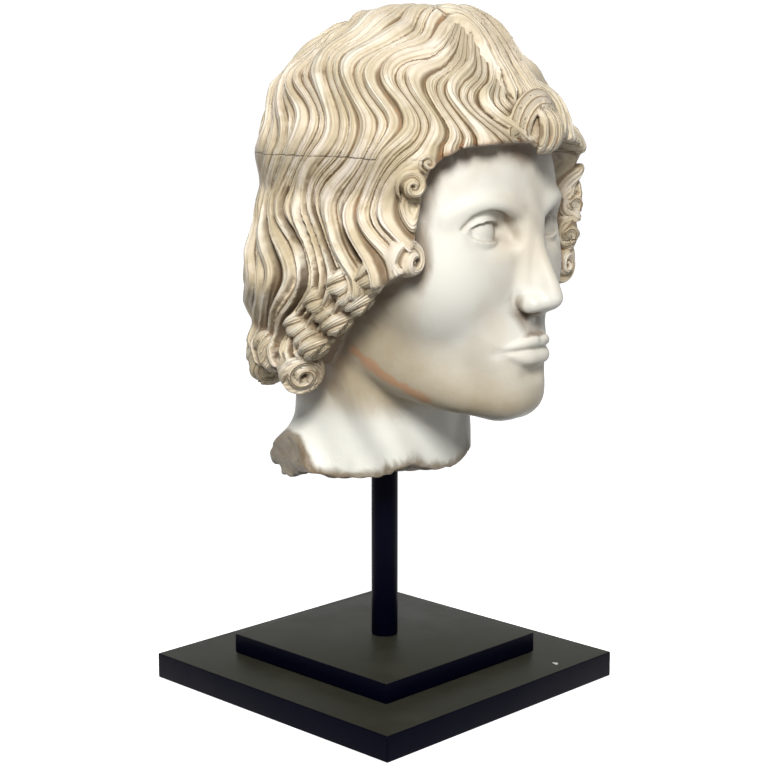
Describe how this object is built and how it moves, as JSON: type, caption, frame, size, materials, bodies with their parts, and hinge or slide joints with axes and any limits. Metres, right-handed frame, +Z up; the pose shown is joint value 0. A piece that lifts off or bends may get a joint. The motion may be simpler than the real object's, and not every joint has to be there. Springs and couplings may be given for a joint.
{
  "type": "marble head on a stand",
  "caption": "Carved marble head with long waved hair and a broken neck, held by a round rod on a two-step square base painted black.",
  "frame": {"origin": "centre of the lower plate's underside", "axes": "+Z up along the rod, the stand's sides along X and Y, the face looking to -Y and a little to +X"},
  "size_m": [0.22, 0.2505, 0.4547],
  "materials": {
    "marble": null,
    "black_paint": "satin"
  },
  "bodies": {
    "root": {"marble_head": "marble", "support_rod": "black_paint", "upper_plate": "black_paint", "lower_plate": "black_paint"}
  },
  "joints": []
}
